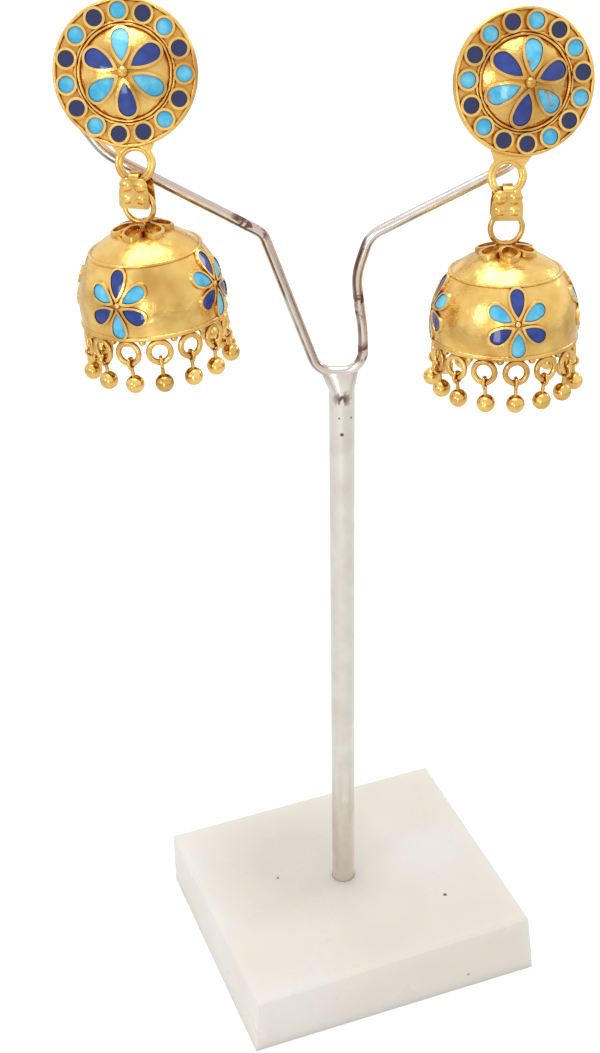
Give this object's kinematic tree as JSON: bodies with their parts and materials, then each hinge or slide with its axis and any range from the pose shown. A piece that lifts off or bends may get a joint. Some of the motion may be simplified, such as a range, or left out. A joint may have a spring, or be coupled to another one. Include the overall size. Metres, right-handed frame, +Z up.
{
  "type": "pair of jhumka earrings on a display stand",
  "caption": "Pair of dome earrings with enamelled studs, wall flowers and ball fringes, hung from a forked wire on a post and a milky acrylic block.",
  "frame": {"origin": "on the post's axis at the underside of the base block", "axes": "+Z up along the post, -Y to the front that the studs face, +X to the right seen from the front"},
  "size_m": [0.0704, 0.0596, 0.1589],
  "materials": {
    "gold": "polished gold plating",
    "enamel_sky": "glossy sky-blue enamel",
    "enamel_navy": "glossy navy enamel",
    "steel": "polished steel",
    "acrylic": "polished milky acrylic"
  },
  "bodies": {
    "stand": {"base_block": "acrylic", "ear_back_left": "gold", "ear_back_right": "gold", "stand_post": "steel", "stud_enamel_navy_left": "enamel_navy", "stud_enamel_navy_right": "enamel_navy", "stud_enamel_sky_left": "enamel_sky", "stud_enamel_sky_right": "enamel_sky", "stud_left": "gold", "stud_right": "gold"},
    "link_left": {"link_left": "gold"},
    "bell_left": {"bell_enamel_navy_left": "enamel_navy", "bell_enamel_sky_left": "enamel_sky", "bell_left": "gold", "drop_left_01": "gold", "drop_left_02": "gold", "drop_left_03": "gold", "drop_left_04": "gold", "drop_left_05": "gold", "drop_left_06": "gold", "drop_left_07": "gold", "drop_left_08": "gold", "drop_left_09": "gold", "drop_left_10": "gold", "drop_left_11": "gold", "drop_left_12": "gold", "drop_left_13": "gold", "drop_left_14": "gold"},
    "link_right": {"link_right": "gold"},
    "bell_right": {"bell_enamel_navy_right": "enamel_navy", "bell_enamel_sky_right": "enamel_sky", "bell_right": "gold", "drop_right_01": "gold", "drop_right_02": "gold", "drop_right_03": "gold", "drop_right_04": "gold", "drop_right_05": "gold", "drop_right_06": "gold", "drop_right_07": "gold", "drop_right_08": "gold", "drop_right_09": "gold", "drop_right_10": "gold", "drop_right_11": "gold", "drop_right_12": "gold", "drop_right_13": "gold", "drop_right_14": "gold"}
  },
  "joints": [
    {"name": "link_left_swing", "type": "hinge", "parent": "stand", "child": "link_left", "pos_m": [-0.02711, -0.0065, 0.13683], "axis": [0.9998, -0.0175, 0], "range_deg": [-15, 15]},
    {"name": "bell_left_swing", "type": "hinge", "parent": "link_left", "child": "bell_left", "pos_m": [-0.02696, -0.0065, 0.1333], "axis": [-0.3729, -0.9276, -0.0226], "range_deg": [-19.3, 10.7]},
    {"name": "link_right_swing", "type": "hinge", "parent": "stand", "child": "link_right", "pos_m": [0.0217, -0.00665, 0.13428], "axis": [0.9877, 0.1564, 0], "range_deg": [-15, 15]},
    {"name": "bell_right_swing", "type": "hinge", "parent": "link_right", "child": "bell_right", "pos_m": [0.0218, -0.00665, 0.12948], "axis": [0.0601, -0.9968, 0.0523], "range_deg": [-16, 14]}
  ]
}
